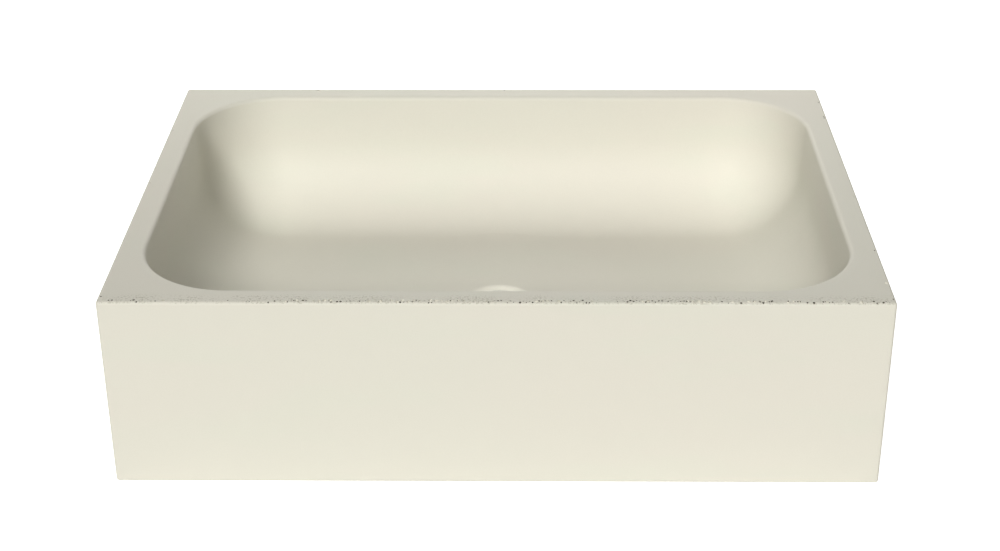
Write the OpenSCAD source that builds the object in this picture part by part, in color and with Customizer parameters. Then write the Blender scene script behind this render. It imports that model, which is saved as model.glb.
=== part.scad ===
// Countertop basin cast in concrete, with a push-button waste fitted in its drain.
// Millimetres. The origin is at the middle of the underside, +X to the right,
// -Y towards the user and +Z up. The waste is drawn with its plug shut.

/* [Basin block] */
// Overall width, left to right
basin_w = 560; // [500:10:680]
// Overall depth, front to back
basin_d = 400; // [360:10:460]
// Overall height
basin_h = 150; // [140:5:180]
// Width of the rim all round, at its sharp inner edge
rim_w = 20; // [16:1:26]
// Radius of the block's rounded edges and corners
arris_r = 2.2; // [1.5:0.1:4]
// Radius of the rim's inner edge
rim_edge_r = 3.5; // [1:0.5:4]

/* [Bowl] */
// Radius of the bowl's corners at the rim
bowl_corner_r = 70; // [60:1:80]
// Lean of the bowl's walls from upright, in degrees
wall_draft = 3; // [2:0.5:5]
// Thickness of the floor round the dish, above the base
floor_t = 45.5; // [45:0.5:60]
// Radius of the shallow dish that falls to the drain
dish_r = 100; // [60:5:105]
// Fall of the dish from its edge to the drain
dish_fall = 2; // [1:0.5:3]

/* [Drain] */
// Diameter of the drain's well, where the waste's flange lies
well_d = 51; // [51:0.5:56]
// Depth of the well below the foot of the dish
well_depth = 7.5; // [6.5:0.5:8.5]
// Radius of the well's rounded lip
lip_r = 4; // [2:0.5:5]
// Diameter of the hole under the well, round the waste's tail
hole_d = 44; // [43.5:0.5:46]
// Thickness of concrete that the waste clamps
clamped_t = 10; // [8:0.5:11]
// Diameter of the recess in the underside, at the base
recess_d = 112; // [100:2:130]
// Lean of the recess's wall from upright, in degrees
recess_draft = 4; // [2:1:8]

/* [Waste body] */
// Outside diameter of the threaded tail, a pipe thread of one and a quarter inches
tail_d = 41.91; // [41:0.01:42.5]
// Height of the thread's profile, so that two threads mesh this much inside its diameter
thread_h = 1.48; // [1:0.02:1.5]
// Length of meshing thread that shows past each face of the nut
thread_relief = 0.5; // [0.2:0.1:1]
// Bore of the tail
tail_bore_d = 37.2; // [34:0.2:38]
// Height of the tail's end above the base
tail_end_z = 1; // [0.5:0.5:3]
// Diameter of the flange
flange_d = 49; // [48:0.5:50]
// Thickness of the flange
flange_t = 2.5; // [2:0.1:3]
// Mouth of the conical seat in the flange
seat_mouth_d = 42.8; // [42:0.2:43.6]
// Depth of the conical seat
seat_cone_depth = 4.5; // [4:0.5:6]
// Depth of the spider's top below the flange's top
spider_drop = 10; // [9.5:0.5:11]
// Thickness of the spider
spider_t = 6; // [4:0.5:8]
// Width of a spider arm
spider_arm_w = 3; // [2:0.5:5]
// Number of spider arms
spider_arms = 4; // [3:1:6]
// Outside diameter of the spider's threaded boss
boss_d = 19; // [17.5:0.5:22]

/* [Seals and nut] */
// Thickness of the flange's seal
flange_seal_t = 1.5; // [1:0.1:2]
// Thickness of the lower rubber washer
lower_seal_t = 3.5; // [2.5:0.5:4]
// Outside diameter of the lower rubber washer
lower_seal_d = 57; // [54:1:60]
// Thickness of the plastic slip washer
slip_washer_t = 1.5; // [1:0.1:2]
// Outside diameter of the plastic slip washer
slip_washer_d = 58; // [54:1:60]
// Width of the back nut across its flats
nut_af = 52; // [50:1:56]
// Thickness of the back nut
nut_t = 9; // [7:0.5:10]
// Chamfer on the back nut's corners
nut_chamfer = 1.5; // [0.5:0.5:2.5]

/* [Push cartridge] */
// Outside diameter of the barrel, which screws into the spider
barrel_d = 14; // [13.4:0.1:15]
// Bore of the barrel
barrel_bore_d = 11; // [10.8:0.1:11.6]
// Length of the barrel below its head
barrel_l = 26; // [25.5:0.1:26.5]
// Thickness of the barrel's closed end
barrel_end_t = 1.5; // [1:0.1:2]
// Width of the barrel's head across its flats
head_af = 17; // [16:0.5:19]
// Thickness of the barrel's head
head_t = 2; // [1.5:0.1:2.5]
// Number of guide ribs in the barrel, and of slots between them
rib_count = 4; // [3:1:4]
// Width of each guide rib
rib_w = 2.6; // [2:0.2:3]
// Height of the guide ribs off the barrel's bore
rib_h = 1; // [0.8:0.1:1.2]
// Outside diameter of the guide bush's collar
bush_collar_d = 15; // [13:0.5:17]
// Thickness of the guide bush's collar
bush_collar_t = 2; // [1.5:0.1:2.2]
// Depth of the guide bush below the barrel's top face
bush_depth = 2.7; // [2.2:0.1:3]

/* [Plunger and rotor] */
// Diameter of the plunger's shaft
shaft_d = 6; // [5:0.5:6.4]
// Length of the plunger's crown, which carries its ribs
crown_l = 2; // [1.5:0.1:2.4]
// Diameter of the pilot that the rotor turns on
pilot_d = 3.8; // [3:0.1:4.4]
// Length of the pilot
pilot_l = 4; // [3:0.5:4.2]
// Length of the rotor's splined part
rotor_l = 5; // [4.6:0.1:5.4]
// Width of each rib on the rotor and the plunger
spline_w = 2.2; // [1.6:0.1:2.6]
// Travel of the plug from shut to open
plug_travel = 7; // [6:0.5:7]
// Diameter of the spring's wire
spring_wire_d = 0.8; // [0.6:0.1:0.8]
// Mean diameter of the spring
spring_d = 7.4; // [7:0.1:8]
// Turns of the spring
spring_turns = 6; // [4:0.5:6]

/* [Plug] */
// Diameter of the plug's cap
cap_d = 44; // [43.8:0.2:45]
// Thickness of the cap at its edge
cap_edge_t = 1.6; // [1.2:0.1:2]
// Rise of the cap's crown above its edge
cap_rise = 1; // [0.5:0.1:1.4]
// Thickness of the seal ring
plug_seal_t = 3; // [2.6:0.1:3.2]
// Thickness of the skirt that holds the seal ring
skirt_t = 2.2; // [2:0.1:3]
// Diameter of the cap's threaded boss
cap_boss_d = 12; // [10:0.5:14]
// Height of the lock nut under the cap
lock_nut_t = 2.4; // [2:0.1:2.6]
// Width of the lock nut across its flats
lock_nut_af = 10; // [9.5:0.5:13]

/* [Clearances] */
// Radial gap between a screwed piece and its thread
thread_gap = 0.05; // [0.02:0.01:0.1]
// Radial gap of a washer or seal round the tail
washer_gap = 0.25; // [0.1:0.05:0.5]
// Radial gap of a running fit
running_gap = 0.06; // [0.02:0.01:0.09]
// Gap between pieces that move past or rest on each other
rest_gap = 0.3; // [0.2:0.05:0.4]

/* [Hidden] */

$fn = 96;
// How far a cut runs past the face it opens
over = 1;
// Small chamfer on the edges of turned pieces
edge_break = 0.5;
// Radial gap of the running ribs in the barrel's bore
rib_gap = 0.2;
// How far the top of the seal ring lies below the cap's underside
seal_drop = 0.4;
// How far the skirt reaches below the seal ring
skirt_lip = 0.2;
// How far the plunger's end stays below the top of the cap's edge
stem_cover = 0.6;
// Taper of the rotor's foot, which the spring slips over
foot_taper = 0.4;
// How far the bowl's fillet reaches past the wall's line, so that the two cross cleanly
fillet_bite = 0.02;

concrete = [0.80, 0.77, 0.69];
chrome = [0.82, 0.83, 0.85];
brass = [0.80, 0.65, 0.36];
steel = [0.70, 0.71, 0.73];
black_rubber = [0.10, 0.10, 0.10];
white_plastic = [0.92, 0.92, 0.90];

// Corner axes of the block and of the bowl
block_half_x = basin_w / 2 - arris_r;
block_half_y = basin_d / 2 - arris_r;
bowl_half_x = basin_w / 2 - rim_w - bowl_corner_r;
bowl_half_y = basin_d / 2 - rim_w - bowl_corner_r;

// The bowl's fillet has its centre on the corner axis, so each lower corner is part of a ball.
// It passes the wall's line by the fillet's bite at the foot of the wall.
bowl_foot_u = bowl_corner_r - (basin_h - floor_t) * tan(wall_draft);
ball_r = bowl_foot_u / tan(45 - wall_draft / 2) + fillet_bite;
wall_foot_z = floor_t + ball_r * (1 - sin(wall_draft));
wall_foot_u = bowl_foot_u + (wall_foot_z - floor_t) * tan(wall_draft);

// The rim's inner edge: the centre of its rounding, and where that meets the wall
rim_edge_u = bowl_corner_r - rim_edge_r * tan(wall_draft) + rim_edge_r / cos(wall_draft);
rim_edge_z = basin_h - rim_edge_r;
rim_wall_u = rim_edge_u - rim_edge_r * cos(wall_draft);
rim_wall_z = rim_edge_z + rim_edge_r * sin(wall_draft);

// Heights in the drain, from the dish down to the underside recess
mouth_z = floor_t - dish_fall;
seat_z = mouth_z - well_depth;
recess_z = seat_z - clamped_t;
recess_foot_r = recess_d / 2;
recess_top_r = recess_foot_r - recess_z * tan(recess_draft);

// Heights of the waste, from its flange down to the back nut
flange_z = seat_z + flange_seal_t;
flange_top_z = flange_z + flange_t;
tail_r = tail_d / 2;
mesh_r = (tail_d - thread_h) / 2;
tail_bore_r = tail_bore_d / 2;
seat_mouth_r = seat_mouth_d / 2;
seat_foot_z = flange_top_z - seat_cone_depth;
spider_z = flange_top_z - spider_drop;
slip_washer_top_z = recess_z - lower_seal_t;
nut_top_z = slip_washer_top_z - slip_washer_t;
nut_z = nut_top_z - nut_t;

// Heights of the push cartridge, which stands on the spider's boss
barrel_z = spider_z - barrel_l;
barrel_floor_z = barrel_z + barrel_end_t;
head_top_z = spider_z + head_t;
bush_z = head_top_z - bush_depth;
bush_top_z = head_top_z + bush_collar_t;
barrel_bore_r = barrel_bore_d / 2;

// Heights of the moving pieces with the plug shut
crown_top_z = bush_z - rest_gap - plug_travel;
crown_z = crown_top_z - crown_l;
rotor_top_z = crown_z - rest_gap;
rotor_z = rotor_top_z - rotor_l;
rib_foot_z = rotor_top_z + rest_gap;
spline_r = barrel_bore_r - rib_gap;
spline_root_r = barrel_bore_r - rib_h - rest_gap;
shaft_r = shaft_d / 2;
pilot_r = pilot_d / 2;
spring_wire_r = spring_wire_d / 2;
spring_low_z = barrel_floor_z + spring_wire_r + running_gap;
spring_high_z = rotor_z - rest_gap - spring_wire_r;
spring_guide_r = (spring_d - spring_wire_d) / 2 - rest_gap;
spring_guide_l = 2;

// The plug: its cap lies just above the flange, and its seal just off the conical seat
cap_z = flange_top_z + rest_gap;
cap_r = cap_d / 2;
cap_edge_top_z = cap_z + cap_edge_t;
cap_crown_z = cap_edge_top_z + cap_rise;
seal_r = plug_seal_t / 2;
seal_z = cap_z - seal_drop - seal_r;
seat_slope = (seat_mouth_r - tail_bore_r) / seat_cone_depth;
seat_cos = 1 / sqrt(1 + seat_slope * seat_slope);
seal_mid_r = tail_bore_r + (seal_z - seat_foot_z) * seat_slope - (seal_r + rest_gap) / seat_cos;
skirt_r = seal_mid_r - seal_r * 0.3;
skirt_z = seal_z - seal_r - skirt_lip;
lock_nut_z = bush_top_z + 2 * rest_gap;
cap_boss_z = lock_nut_z + lock_nut_t;
stem_top_z = cap_edge_top_z - stem_cover;

// Sweeps a profile round a rounded rectangle whose corner axes stand at half_x and half_y.
// The profile is drawn as distance out from the corner axis against height, and low and
// high are its lowest and highest points on that axis.
module round_rectangle_sweep(half_x, half_y, low, high) {
    for (turn = [0:3]) {
        side_x = (turn == 0 || turn == 3) ? half_x : -half_x;
        side_y = (turn < 2) ? half_y : -half_y;
        translate([side_x, side_y, 0])
            rotate([0, 0, 90 * turn])
                rotate_extrude(angle = 90)
                    children();
    }
    for (turn = [0:3]) {
        out = (turn % 2 == 0) ? half_x : half_y;
        along = (turn % 2 == 0) ? half_y : half_x;
        rotate([0, 0, 90 * turn])
            translate([out, 0, 0])
                rotate([90, 0, 0])
                    linear_extrude(height = 2 * along, center = true)
                        children();
    }
    translate([-half_x, -half_y, low])
        cube([2 * half_x, 2 * half_y, high - low]);
}

// Section of the block at its edge: upright, with a round arris above and below
module block_profile() {
    polygon([[0, 0], [arris_r, arris_r], [arris_r, basin_h - arris_r], [0, basin_h]]);
    for (z = [arris_r, basin_h - arris_r])
        intersection() {
            translate([0, z])
                circle(arris_r);
            square([arris_r, basin_h]);
        }
}

// Section of the bowl's hollow at its edge: fillet, drafted wall and rounded rim edge
module bowl_profile() {
    difference() {
        union() {
            intersection() {
                translate([0, floor_t + ball_r])
                    circle(ball_r);
                translate([0, floor_t])
                    square(ball_r);
            }
            polygon([
                [0, floor_t + ball_r / 2], [wall_foot_u, wall_foot_z], [rim_wall_u, rim_wall_z],
                [rim_edge_u, rim_edge_z], [rim_edge_u, basin_h + over], [0, basin_h + over]]);
        }
        translate([rim_edge_u, rim_edge_z])
            circle(rim_edge_r);
    }
}

// Section of the drain: hole, shoulder, well, rounded lip and the dish's gentle fall
module drain_profile() {
    well_r = well_d / 2;
    lip_z = mouth_z - lip_r;
    difference() {
        polygon([
            [0, recess_z - over], [hole_d / 2, recess_z - over], [hole_d / 2, seat_z],
            [well_r, seat_z], [well_r, lip_z], [well_r + lip_r, lip_z],
            [well_r + lip_r, mouth_z], [dish_r, floor_t], [dish_r, floor_t + over],
            [0, floor_t + over]]);
        translate([well_r + lip_r, lip_z])
            circle(lip_r);
    }
}

// The cast block with its bowl, its drain and the recess that takes the back nut
module basin_body() {
    color(concrete)
        difference() {
            round_rectangle_sweep(block_half_x, block_half_y, 0, basin_h)
                block_profile();
            round_rectangle_sweep(bowl_half_x, bowl_half_y, floor_t, basin_h + over)
                bowl_profile();
            rotate_extrude()
                drain_profile();
            translate([0, 0, -over])
                cylinder(h = over, r = recess_foot_r);
            cylinder(h = recess_z, r1 = recess_foot_r, r2 = recess_top_r);
        }
}

// A flat ring, for the seals and the washers
module ring(bore_r, outer_r, low, high) {
    translate([0, 0, low])
        difference() {
            cylinder(h = high - low, r = outer_r);
            translate([0, 0, -over])
                cylinder(h = high - low + 2 * over, r = bore_r);
        }
}

// A hexagon nut with its corners turned down, bored to sit round a shaft
module hex_nut(flats, bore_r, low, high, chamfer) {
    corner_r = flats / 2 / cos(30);
    difference() {
        intersection() {
            translate([0, 0, low])
                cylinder(h = high - low, r = corner_r, $fn = 6);
            rotate_extrude()
                polygon([
                    [0, low], [corner_r - chamfer, low], [corner_r, low + chamfer / 2],
                    [corner_r, high - chamfer / 2], [corner_r - chamfer, high], [0, high]]);
        }
        translate([0, 0, low - over])
            cylinder(h = high - low + 2 * over, r = bore_r);
    }
}

// Flange, conical seat and threaded tail, turned in one piece with the spider inside. The
// thread is drawn as a plain cylinder over its crests, and where the nut is on it as one at
// the diameter at which the two threads mesh.
module waste_body() {
    edge = flange_t * 0.4;
    chamfer = 0.6;
    flange_r = flange_d / 2;
    color(chrome) {
        rotate_extrude() {
            polygon([
                [tail_bore_r, tail_end_z], [tail_r - chamfer, tail_end_z],
                [tail_r, tail_end_z + chamfer], [tail_r, nut_z - thread_relief],
                [mesh_r, nut_z - thread_relief], [mesh_r, nut_top_z + thread_relief],
                [tail_r, nut_top_z + thread_relief], [tail_r, flange_z], [flange_r, flange_z],
                [flange_r, flange_top_z - edge], [flange_r - edge, flange_top_z],
                [seat_mouth_r, flange_top_z], [tail_bore_r, seat_foot_z]]);
            translate([flange_r - edge, flange_top_z - edge])
                intersection() {
                    circle(edge);
                    square(edge);
                }
        }
        difference() {
            translate([0, 0, spider_z - spider_t])
                union() {
                    cylinder(h = spider_t, r = boss_d / 2);
                    for (arm = [0:spider_arms - 1])
                        rotate([0, 0, arm * 360 / spider_arms])
                            translate([0, -spider_arm_w / 2, 0])
                                cube([(tail_bore_r + tail_r) / 2, spider_arm_w, spider_t]);
                }
            translate([0, 0, spider_z - spider_t - over])
                cylinder(h = spider_t + 2 * over, r = barrel_d / 2 + thread_gap);
        }
    }
}

// Thin rubber ring that beds the flange on the shoulder of the well
module flange_seal() {
    color(black_rubber)
        ring(tail_r + washer_gap, flange_d / 2 - washer_gap, seat_z, flange_z);
}

// Rubber washer that seals the tail against the concrete from below
module lower_seal() {
    color(black_rubber)
        ring(tail_r + washer_gap, lower_seal_d / 2, slip_washer_top_z, recess_z);
}

// Slippery plastic washer that lets the nut turn without dragging the rubber
module slip_washer() {
    color(white_plastic)
        ring(tail_r + washer_gap, slip_washer_d / 2, nut_top_z, slip_washer_top_z);
}

// Brass nut that draws the flange down on its seal
module back_nut() {
    color(brass)
        hex_nut(nut_af, mesh_r + thread_gap, nut_z, nut_top_z, nut_chamfer);
}

// Barrel of the push cartridge, with guide ribs in its bore and a hexagon head
module cartridge_barrel() {
    color(white_plastic) {
        difference() {
            union() {
                translate([0, 0, barrel_z])
                    cylinder(h = barrel_l, r = barrel_d / 2);
                hex_nut(head_af, barrel_bore_r, spider_z, head_top_z, edge_break);
            }
            translate([0, 0, barrel_floor_z])
                cylinder(h = barrel_l + head_t, r = barrel_bore_r);
        }
        intersection() {
            ring(barrel_bore_r - rib_h, (barrel_bore_r + barrel_d / 2) / 2, rib_foot_z, bush_z);
            for (rib = [0:rib_count - 1])
                rotate([0, 0, (rib + 0.5) * 360 / rib_count])
                    translate([0, -rib_w / 2, rib_foot_z])
                        cube([barrel_d / 2, rib_w, bush_z - rib_foot_z]);
        }
    }
}

// Bush that closes the barrel's top and guides the plunger's shaft
module guide_bush() {
    color(steel)
        rotate_extrude()
            polygon([
                [shaft_r + running_gap, bush_z], [barrel_bore_r - thread_gap, bush_z],
                [barrel_bore_r - thread_gap, head_top_z], [bush_collar_d / 2, head_top_z],
                [bush_collar_d / 2, bush_top_z - edge_break],
                [bush_collar_d / 2 - edge_break, bush_top_z],
                [shaft_r + running_gap, bush_top_z]]);
}

// Ribs that run in the slots between the barrel's guide ribs
module splines(low, high) {
    intersection() {
        translate([0, 0, low])
            cylinder(h = high - low, r = spline_r);
        for (spline = [0:rib_count - 1])
            rotate([0, 0, spline * 360 / rib_count])
                translate([0, -spline_w / 2, low])
                    cube([barrel_bore_r, spline_w, high - low]);
    }
}

// Rotor that turns one step at each push and so latches or frees the plunger
module ratchet_rotor() {
    bore_depth = pilot_l + rest_gap;
    color(brass)
        difference() {
            union() {
                translate([0, 0, rotor_z])
                    cylinder(h = rotor_l, r = spline_root_r);
                splines(rotor_z + edge_break, rotor_top_z);
                translate([0, 0, rotor_z - spring_guide_l])
                    cylinder(h = spring_guide_l, r1 = spring_guide_r - foot_taper, r2 = spring_guide_r);
            }
            translate([0, 0, rotor_top_z - bore_depth])
                cylinder(h = bore_depth + over, r = pilot_r + running_gap);
        }
}

// Plunger: pilot, ribbed crown, shaft and the threaded end that carries the cap
module plunger() {
    color(steel) {
        rotate_extrude()
            polygon([
                [0, crown_z - pilot_l], [pilot_r - 0.3, crown_z - pilot_l],
                [pilot_r, crown_z - pilot_l + 0.3], [pilot_r, crown_z],
                [spline_root_r, crown_z], [spline_root_r, crown_top_z], [shaft_r, crown_top_z],
                [shaft_r, stem_top_z - edge_break], [shaft_r - edge_break, stem_top_z],
                [0, stem_top_z]]);
        splines(crown_z, crown_top_z);
    }
}

// Lock nut that fixes the height of the cap on the plunger
module lock_nut() {
    color(steel)
        hex_nut(lock_nut_af, shaft_r + thread_gap, lock_nut_z, cap_boss_z, 0.6);
}

// Section of the plug's cap: domed top, rounded edge, threaded boss and grooved skirt
module cap_profile() {
    crown_r = (cap_r * cap_r + cap_rise * cap_rise) / (2 * cap_rise);
    edge = cap_edge_t / 2;
    difference() {
        union() {
            intersection() {
                translate([0, cap_crown_z - crown_r])
                    circle(crown_r, $fn = 1440);
                union() {
                    translate([0, cap_z])
                        square([cap_r - edge, cap_edge_t + cap_rise]);
                    translate([cap_r - edge, cap_z + edge])
                        circle(edge);
                }
            }
            translate([0, cap_boss_z])
                square([cap_boss_d / 2, cap_z - cap_boss_z + edge]);
            translate([skirt_r - skirt_t, skirt_z])
                square([skirt_t, cap_z - skirt_z + edge]);
        }
        translate([0, cap_boss_z - over])
            square([shaft_r + thread_gap, stem_top_z - cap_boss_z + over]);
        translate([seal_mid_r, seal_z])
            circle(seal_r + thread_gap);
    }
}

// Domed cap that is pushed to open and shut the drain
module plug_cap() {
    color(chrome)
        rotate_extrude()
            cap_profile();
}

// Seal ring that closes the plug against the conical seat
module plug_seal() {
    color(black_rubber)
        rotate_extrude()
            translate([seal_mid_r, seal_z])
                circle(seal_r);
}

function helix_point(turn) = [
    spring_d / 2 * cos(360 * turn),
    spring_d / 2 * sin(360 * turn),
    spring_low_z + (spring_high_z - spring_low_z) * turn / spring_turns];

// Compression spring: round wire swept along a helix of even pitch
module cartridge_spring() {
    sides = 8;
    steps = spring_turns * 16;
    rings = [for (step = [0:steps], side = [0:sides - 1])
        let (
            turn = step / 16,
            round = 360 * side / sides,
            reach = spring_wire_r * cos(round),
            middle = helix_point(turn))
        [middle[0] + reach * cos(360 * turn),
         middle[1] + reach * sin(360 * turn),
         middle[2] + spring_wire_r * sin(round)]];
    walls = [for (step = [0:steps - 1], side = [0:sides - 1])
        let (
            next = (side + 1) % sides,
            here = step * sides,
            ahead = here + sides)
        [here + side, ahead + side, ahead + next, here + next]];
    near_end = [for (side = [0:sides - 1]) side];
    far_end = [for (side = [0:sides - 1]) steps * sides + sides - 1 - side];
    color(steel)
        polyhedron(points = rings, faces = concat(walls, [near_end, far_end]), convexity = 8);
}

basin_body();
waste_body();
flange_seal();
lower_seal();
slip_washer();
back_nut();
cartridge_barrel();
guide_bush();
cartridge_spring();
ratchet_rotor();
plunger();
lock_nut();
plug_cap();
plug_seal();
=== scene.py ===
import math

import bpy
import numpy as np
from mathutils import Matrix, Vector


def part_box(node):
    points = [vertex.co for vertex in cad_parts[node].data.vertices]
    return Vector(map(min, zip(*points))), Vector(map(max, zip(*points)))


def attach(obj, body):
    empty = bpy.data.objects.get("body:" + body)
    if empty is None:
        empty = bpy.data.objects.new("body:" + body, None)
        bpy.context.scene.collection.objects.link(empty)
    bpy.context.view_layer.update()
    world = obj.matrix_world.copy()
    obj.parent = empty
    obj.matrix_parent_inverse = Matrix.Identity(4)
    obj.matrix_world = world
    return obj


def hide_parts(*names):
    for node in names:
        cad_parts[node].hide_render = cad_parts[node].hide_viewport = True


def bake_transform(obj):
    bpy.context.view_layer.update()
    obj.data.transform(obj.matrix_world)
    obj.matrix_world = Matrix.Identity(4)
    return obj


# A countertop basin cast in cream concrete, with a push-button waste in its drain.
# Metres. The origin is at the middle of the underside, +X to the right, -Y to the
# user and +Z up. Names that end in _MM, and turned profiles, are in plain millimetres.
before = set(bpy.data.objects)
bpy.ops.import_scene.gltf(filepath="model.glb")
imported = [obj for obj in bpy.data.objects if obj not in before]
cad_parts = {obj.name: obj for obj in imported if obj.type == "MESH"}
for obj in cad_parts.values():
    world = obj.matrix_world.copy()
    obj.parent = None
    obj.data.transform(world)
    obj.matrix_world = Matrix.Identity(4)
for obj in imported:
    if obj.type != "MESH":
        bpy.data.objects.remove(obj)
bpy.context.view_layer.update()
MM = 0.001


# The cast block. The real one is concrete poured upside down in a mould, so its faces
# are smooth and closed. Here it is one closed skin of rings, which run from the recess
# under it, round the block, over the rim, down the bowl and through the drain.
BLOCK_W, BLOCK_D, BLOCK_H = 560 * MM, 400 * MM, 150 * MM
ARRIS_R, ARRIS_TURN = 2.2 * MM, 72
FLAT_REACH = 0.4 * MM
RIM_W, RIM_EDGE_R = 20 * MM, 3.5 * MM
BOWL_CORNER_R = 70 * MM
WALL_LEAN, FOOT_END = 3, -85
WALL_DRAFT = math.radians(WALL_LEAN)
FLOOR_Z = 45.5 * MM
DISH_R, DISH_FALL, DISH_EASE = 100 * MM, 2 * MM, 12 * MM
DISH_MARGIN = 20 * MM
WELL_R, LIP_R = 25.5 * MM, 4 * MM
RECESS_FOOT_R, RECESS_EDGE_R = 56 * MM, 1 * MM
CORNER_STEPS, LONG_STEPS, SHORT_STEPS = 18, 84, 42
RING_COUNT = 4 * CORNER_STEPS + 2 * LONG_STEPS + 2 * SHORT_STEPS

# Radii of the rings across the dish, and then radius and height down the drain's well,
# over its shoulder, through the hole and along the recess's roof to its wall.
DISH_RINGS_MM = (113, 107, 101, 96, 92, 88, 75, 60, 45, 34, 31)
DRAIN_MM = (
    (25.5, 39), (25.5, 37), (25.4, 36.5), (25, 36.1), (24.5, 36), (23, 36), (22.5, 35.9),
    (22.1, 35.5), (22, 35), (22, 27), (22.1, 26.5), (22.5, 26.1), (23, 26), (52, 26),
    (53, 25.8), (53.8, 25.2), (54.2, 24), (55.9, 2))

BLOCK_AXES = (BLOCK_W / 2 - ARRIS_R, BLOCK_D / 2 - ARRIS_R)
BOWL_AXES = (BLOCK_W / 2 - RIM_W - BOWL_CORNER_R, BLOCK_D / 2 - RIM_W - BOWL_CORNER_R)
BOWL_FOOT_U = BOWL_CORNER_R - (BLOCK_H - FLOOR_Z) * math.tan(WALL_DRAFT)
BALL_R = BOWL_FOOT_U / math.tan(math.pi / 4 - WALL_DRAFT / 2)
RIM_EDGE_U = (BOWL_CORNER_R - RIM_EDGE_R * math.tan(WALL_DRAFT)
              + RIM_EDGE_R / math.cos(WALL_DRAFT))


def ring_pattern():
    """For each point of a ring: the share of each corner axis, and the way out from it."""
    signs = ((1, 1), (-1, 1), (-1, -1), (1, -1))
    rows = []
    for corner, (x, y) in enumerate(signs):
        for step in range(CORNER_STEPS):
            turn = math.pi / 2 * (corner + step / CORNER_STEPS)
            rows.append((x, y, math.cos(turn), math.sin(turn)))
        turn = math.pi / 2 * (corner + 1)
        next_x, next_y = signs[(corner + 1) % 4]
        count = LONG_STEPS if corner % 2 == 0 else SHORT_STEPS
        for step in range(count):
            t = step / count
            rows.append((x + (next_x - x) * t, y + (next_y - y) * t,
                         math.cos(turn), math.sin(turn)))
    return np.array(rows).T


SIGN_X, SIGN_Y, OUT_X, OUT_Y = ring_pattern()
ROUND = 2 * math.pi * (np.arange(RING_COUNT) + SHORT_STEPS / 2) / RING_COUNT


def boxed_ring(axes, reach, z):
    """A ring round a rectangle of corner axes, its corners quarter circles of radius reach."""
    x = axes[0] * SIGN_X + reach * OUT_X
    y = axes[1] * SIGN_Y + reach * OUT_Y
    return np.stack([x, y, np.full(RING_COUNT, z)], axis=1)


def round_ring(radius, z):
    return np.stack(
        [radius * np.cos(ROUND), radius * np.sin(ROUND), np.full(RING_COUNT, z)], axis=1)


def arc(centre, radius, first, last, steps):
    """Points (distance out, height) on an arc between two angles in degrees."""
    for step in range(steps + 1):
        turn = math.radians(first + (last - first) * step / steps)
        yield centre[0] + radius * math.cos(turn), centre[1] + radius * math.sin(turn)


def between(first, last, shares):
    """Rings part of the way from one ring to another."""
    return [first + (last - first) * share for share in shares]


def dish_height(radius):
    """Height of the floor at a distance from the drain, eased where the dish begins."""
    slope = DISH_FALL / (DISH_R - WELL_R - LIP_R)
    inside = DISH_R - radius
    if inside > DISH_EASE:
        return FLOOR_Z - slope * inside
    return FLOOR_Z - slope * max(inside + DISH_EASE, 0) ** 2 / (4 * DISH_EASE)


def outside_rings():
    """From the recess's foot, under the block, up its sides and over the rim."""
    recess_edge = arc((RECESS_FOOT_R + RECESS_EDGE_R, RECESS_EDGE_R), RECESS_EDGE_R, 180, 270, 4)
    rings = [round_ring(r, z) for r, z in recess_edge]
    rings += between(rings[-1], boxed_ring(BLOCK_AXES, FLAT_REACH, 0),
                     (0.02, 0.25, 0.5, 0.75, 0.98, 1))
    low_arris = arc((0, ARRIS_R), ARRIS_R, -ARRIS_TURN, 0, 6)
    high_arris = arc((0, BLOCK_H - ARRIS_R), ARRIS_R, 0, ARRIS_TURN, 6)
    rings += [boxed_ring(BLOCK_AXES, u, z) for u, z in low_arris]
    rings += [boxed_ring(BLOCK_AXES, ARRIS_R, z)
              for z in (ARRIS_R + MM, BLOCK_H / 2, BLOCK_H - ARRIS_R - MM)]
    rings += [boxed_ring(BLOCK_AXES, u, z) for u, z in high_arris]
    rings += between(boxed_ring(BLOCK_AXES, FLAT_REACH, BLOCK_H),
                     boxed_ring(BOWL_AXES, RIM_EDGE_U, BLOCK_H), (0, 0.06, 0.5, 0.94))
    rim_edge = arc((RIM_EDGE_U, BLOCK_H - RIM_EDGE_R), RIM_EDGE_R, 90, 180 - WALL_LEAN, 7)
    return rings + [boxed_ring(BOWL_AXES, u, z) for u, z in rim_edge]


def bowl_rings(wall_top):
    """Down the bowl's wall, round its ball-shaped foot and across the floor to the dish."""
    foot = [boxed_ring(BOWL_AXES, u, z)
            for u, z in arc((0, FLOOR_Z + BALL_R), BALL_R, -WALL_LEAN, FOOT_END, 28)]
    rings = between(wall_top, foot[0], (0.04, 0.35, 0.68)) + foot
    to_dish = between(foot[-1], round_ring(DISH_R + DISH_MARGIN, FLOOR_Z),
                      [step / 8 for step in range(1, 9)])
    for ring in to_dish:
        past = [np.maximum(np.abs(ring[:, i]) - BOWL_AXES[i], 0) for i in (0, 1)]
        ring[:, 2] = FLOOR_Z + BALL_R - np.sqrt(BALL_R ** 2 - np.hypot(*past) ** 2)
    return rings + to_dish


def casting_rings():
    rings = outside_rings()
    rings += bowl_rings(rings[-1])
    rings += [round_ring(r * MM, dish_height(r * MM)) for r in DISH_RINGS_MM]
    lip = arc((WELL_R + LIP_R, FLOOR_Z - DISH_FALL - LIP_R), LIP_R, 90, 180, 9)
    rings += [round_ring(r, z) for r, z in lip]
    return rings + [round_ring(r * MM, z * MM) for r, z in DRAIN_MM]


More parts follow.
